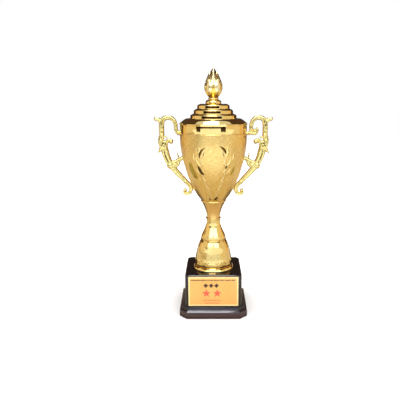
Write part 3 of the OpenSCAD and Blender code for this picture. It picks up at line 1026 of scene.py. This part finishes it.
def prism(outline, front, thick):
    """A flat plate facing the front, from its outline of (across, height) in millimetres."""
    n = len(outline)
    verts = [(x * MM, y * MM, z * MM) for y in (front, front + thick) for x, z in outline]
    faces = [tuple(range(n)), tuple(range(2 * n - 1, n - 1, -1))]
    for k in range(n):
        j = (k + 1) % n
        faces.append((k, k + n, j + n, j))
    return verts, faces


def slab(x0, x1, z0, z1, front, thick):
    """A rectangular plate facing the front."""
    return prism([(x0, z0), (x1, z0), (x1, z1), (x0, z1)], front, thick)


def star(cx, cz, outer, inner, points, front, thick):
    """A flat star facing the front."""
    ring = []
    for k in range(2 * points):
        a = math.radians(90 + 180 * k / points)
        r = outer if k % 2 == 0 else inner
        ring.append((cx + r * math.cos(a), cz + r * math.sin(a)))
    return prism(ring, front, thick)


def make_plaque():
    """The plaque's plate with its printed border and marks, which stand a hair proud of it."""
    lo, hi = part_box("plaque")
    x0, x1 = lo[0] / MM, hi[0] / MM
    z0, z1 = lo[2] / MM, hi[2] / MM
    front = lo[1] / MM
    plate = piece("plaque_plate", *slab(x0, x1, z0, z1, front, 0.8), PLAQUE, CUP, "plaque_gold")
    bevelled(plate, 0.12)
    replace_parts(plate, "plaque")
    print_border(x0 + 0.25, x1 - 0.25, z0 + 0.25, z1 - 0.25, front - INK_PROUD)
    print_dark(x0, x1, z1, front - INK_PROUD)
    print_red(z0, z1, front - INK_PROUD)


def print_border(x0, x1, z0, z1, front):
    """A pale line round the plaque, between the limits of its outer edge."""
    line = 1.0
    sides = [
        slab(x0, x1, z1 - line, z1, front, INK_T),
        slab(x0, x1, z0, z0 + line, front, INK_T),
        slab(x0, x0 + line, z0 + line, z1 - line, front, INK_T),
        slab(x1 - line, x1, z0 + line, z1 - line, front, INK_T),
    ]
    piece("plaque_border", *merge(sides), PALE, CUP, "plaque_gold")


def print_dark(x0, x1, top, front):
    """A row of uneven dashes over three diamonds."""
    shuffle = random.Random(7)
    dark = []
    x = x0 + 2.2
    z = top - 3.6
    while x < x1 - 2.6:
        width = shuffle.uniform(0.5, 1.1)
        height = shuffle.uniform(0.8, 1.2)
        dark.append(slab(x, x + width, z, z + height, front, INK_T))
        x += width + shuffle.choice((0.25, 0.25, 0.25, 0.9))
    for cx in (-6.7, -2.0, 2.7):
        dark.append(star(cx, top - 8.0, 2.2, 1.45, 4, front, INK_T))
    piece("plaque_print_dark", *merge(dark), DARK_INK, CUP, "plaque_gold")


def print_red(low_z, top, front):
    """Two stars over two rows of small dashes."""
    red = [star(cx, top - 15.2, 4.0, 1.7, 5, front, INK_T) for cx in (-6.2, 3.4)]
    for z, count, height in ((low_z + 4.9, 8, 0.9), (low_z + 2.4, 7, 0.7)):
        for k in range(count):
            cx = (k - (count - 1) / 2) * 1.9 - 1.2
            red.append(slab(cx - 0.6, cx + 0.6, z, z + height, front, INK_T))
    piece("plaque_print_red", *merge(red), RED_INK, CUP, "plaque_gold")


# ------ stage, light and camera

def staged(name, verts, faces, material):
    """A studio mesh, linked to the scene like any other object."""
    obj = mesh_object(name, verts, faces, material)
    return obj


def hide_from(obj, *rays):
    """Hides a studio object from some kinds of rays."""
    for ray in rays:
        setattr(obj, "visible_" + ray, False)


def glow(name, colour, strength):
    """A plain light-giving material."""
    material = bpy.data.materials.new(name)
    material.use_nodes = True
    tree = material.node_tree
    tree.nodes.clear()
    emission = tree.nodes.new("ShaderNodeEmission")
    emission.inputs["Color"].default_value = (*colour, 1)
    emission.inputs["Strength"].default_value = strength
    output = tree.nodes.new("ShaderNodeOutputMaterial")
    tree.links.new(emission.outputs[0], output.inputs["Surface"])
    return material


def card(name, verts, faces, colour, strength):
    """A glowing studio card that is seen only in reflections."""
    obj = staged(name, verts, faces, glow(name + "_light", colour, strength))
    hide_from(obj, "camera", "diffuse", "shadow")


def make_floor():
    """A pale floor that brightens away from the object into a plain white surround."""
    size = 2.0
    n = Nodes("floor_white")
    where = n.place()
    pale, paler = (0.92, 0.92, 0.92), (0.94, 0.94, 0.94)
    n.feed(Base_Color=n.ramp(n.noise(where, 6.0), (0.3, pale), (0.7, paler)))
    far = n.add("ShaderNodeVectorMath", {0: where}, operation="LENGTH").outputs["Value"]
    near = n.spread(far, 0.0, 0.7, 0.035, 0.12)
    away = n.spread(far, 0.0, 0.5, 0.15, 0.6)
    n.feed(Emission_Strength=n.maths("ADD", near, away))
    n.feed(Roughness=0.7, Emission_Color=(1, 1, 1, 1))
    corners = [(-size, -size, 0), (size, -size, 0), (size, size, 0), (-size, size, 0)]
    floor = staged("floor", corners, [(0, 1, 2, 3)], n.material)
    hide_from(floor, "glossy")
    steps = 64
    radius = 1.9
    turns = [2 * math.pi * k / steps for k in range(steps)]
    verts = [(radius * math.cos(a), radius * math.sin(a), z) for z in (-0.2, 3.0) for a in turns]
    faces = [(k, (k + 1) % steps, steps + (k + 1) % steps, steps + k) for k in range(steps)]
    faces.append(tuple(range(steps, 2 * steps)))
    surround = staged("surround", verts, faces, glow("surround_white", (1, 1, 1), 1.0))
    hide_from(surround, "diffuse", "glossy", "transmission", "shadow")


def wall_card(name, distance, left, right, z0, z1, colour, strength):
    """A card on an upright arc round the object, between two angles from the front, in degrees."""
    steps = 24
    verts = []
    for z in (z0, z1):
        for k in range(steps + 1):
            a = math.radians(left + (right - left) * k / steps)
            verts.append((distance * math.sin(a), -distance * math.cos(a), z))
    row = steps + 1
    faces = [(k, k + 1, row + k + 1, row + k) for k in range(steps)]
    card(name, verts, faces, colour, strength)


def flat_card(name, x0, x1, y0, y1, z, colour, strength):
    """A card that lies level."""
    verts = [(x0, y0, z), (x1, y0, z), (x1, y1, z), (x0, y1, z)]
    card(name, verts, [(0, 1, 2, 3)], colour, strength)


def softbox(name, place, width, height, power):
    """A soft light that falls on the object's middle and the floor."""
    light = bpy.data.lights.new(name, "AREA")
    light.shape = "RECTANGLE"
    light.size = width
    light.size_y = height
    light.energy = power
    obj = new_object(name, light)
    obj.location = place
    aim = Vector((0, 0, 0.08))
    obj.rotation_euler = (aim - Vector(place)).to_track_quat("-Z", "Y").to_euler()
    hide_from(obj, "camera", "glossy")


COOL = (0.89, 1.0, 1.22)
WHITE = (1.0, 1.0, 1.08)
TAWNY = (1.0, 0.88, 0.66)
WARM = (1.0, 0.93, 0.80)
AMBER = (1.0, 0.74, 0.42)
SHADE = (1.0, 0.62, 0.42)


def make_bright_cards():
    """Cards overhead and in front, which give the broad bright patches."""
    flat_card("hot", -0.24, 0.13, -0.45, 0.15, 1.0, WHITE, 10.0)
    flat_card("ceiling", -0.5, 0.5, -0.95, 0.32, 1.02, COOL, 0.9)
    flat_card("shelf", -0.62, 0.62, -0.88, -0.17, 0.13, COOL, 1.4)
    wall_card("front_top", 1.0, -46, 46, 0.42, 1.02, COOL, 3.2)
    wall_card("front_low", 0.94, -46, 46, -0.02, 0.42, COOL, 1.0)


def make_side_cards():
    """Warm cards beside and behind the object, seen near the edges of the turned pieces."""
    wall_card("left_side", 0.95, -104, -46, 0.02, 0.9, WARM, 0.9)
    wall_card("left_back", 0.95, -124, -104, 0.02, 0.3, AMBER, 0.9)
    wall_card("left_low", 0.94, -97, -46, -0.02, 0.09, WARM, 0.6)
    wall_card("right_side", 0.95, 46, 100, -0.02, 0.9, WARM, 0.9)
    wall_card("right_back", 0.95, 100, 122, -0.02, 0.5, AMBER, 0.9)
    wall_card("back_low", 0.95, 140, 220, -0.02, 0.08, SHADE, 0.6)


def make_table_cards():
    """Level cards just over the floor, seen in surfaces that lean down."""
    flat_card("table_front", -0.5, 0.5, -1.0, -0.16, 0.004, COOL, 1.5)
    flat_card("table", -0.2, 0.2, -0.16, 0.06, 0.002, TAWNY, 0.72)
    flat_card("table_left", -0.9, -0.16, -0.16, 0.9, 0.002, WARM, 0.8)
    flat_card("table_right", 0.16, 0.9, -0.16, 0.9, 0.002, WARM, 0.8)


def make_dark_cards():
    """A dark strip with darker ends and two legs, for the bars on the lid and the rim, and a dim figure."""
    ends = (0.12, 0.37, SHADE, 0.02)
    legs = (0.131, 0.152, SHADE, 0.06)
    wall_card("strip", 0.90, -60, 42, 0.138, 0.31, SHADE, 0.10)
    wall_card("strip_end_left", 0.89, -60, -36, *ends)
    wall_card("strip_end_right", 0.89, 23, 42, *ends)
    wall_card("strip_leg_left", 0.45, -57, -43, *legs)
    wall_card("strip_leg_right", 0.45, 24, 41, *legs)
    wall_card("figure", 0.89, -4, 4, 0.42, 0.60, WARM, 0.4)


def make_light():
    world = bpy.context.scene.world or bpy.data.worlds.new("studio")
    bpy.context.scene.world = world
    world.use_nodes = True
    background = world.node_tree.nodes["Background"]
    background.inputs["Color"].default_value = (*SHADE, 1)
    background.inputs["Strength"].default_value = 0.08
    softbox("top_light", (0, -0.1, 1.0), 0.9, 0.9, 12)
    softbox("front_light", (0.1, -1.1, 0.6), 0.9, 0.6, 9)
    make_bright_cards()
    make_side_cards()
    make_table_cards()
    make_dark_cards()
    bpy.context.scene.view_settings.view_transform = "Standard"


def make_camera():
    """The photographer's eye: in front of the cup, at its lid's height, looking down a little."""
    tilt = 11
    camera = bpy.data.cameras.new("camera")
    camera.lens = 41.3
    camera.sensor_width = 36
    camera.shift_x = -0.0335
    camera.shift_y = -0.0205
    camera.clip_start = 0.01
    obj = new_object("camera", camera)
    obj.location = (0, -0.405, 0.187)
    obj.rotation_euler = (math.radians(90 - tilt), 0, 0)
    bpy.context.scene.camera = obj


make_camera()
make_floor()
make_light()
make_cup()
make_laurel()
make_laurel_cuts()
make_foot_ring()
make_foot_bell()
make_round_ring("stem_edge", "stem_ring", 9, 0.4, 8)
make_trumpet()
make_stem_beads()
make_cone()
make_round_ring("cup_foot_ring", "bead_ring", 8, 0.85, 10)
make_bell_engraving()
make_handle("handle_casting_right", "handle_right", 1, True)
make_handle("handle_casting_left", "handle_left", -1, False)
make_lid()
make_finial_collar()
make_finial()
make_base()
make_plaque()
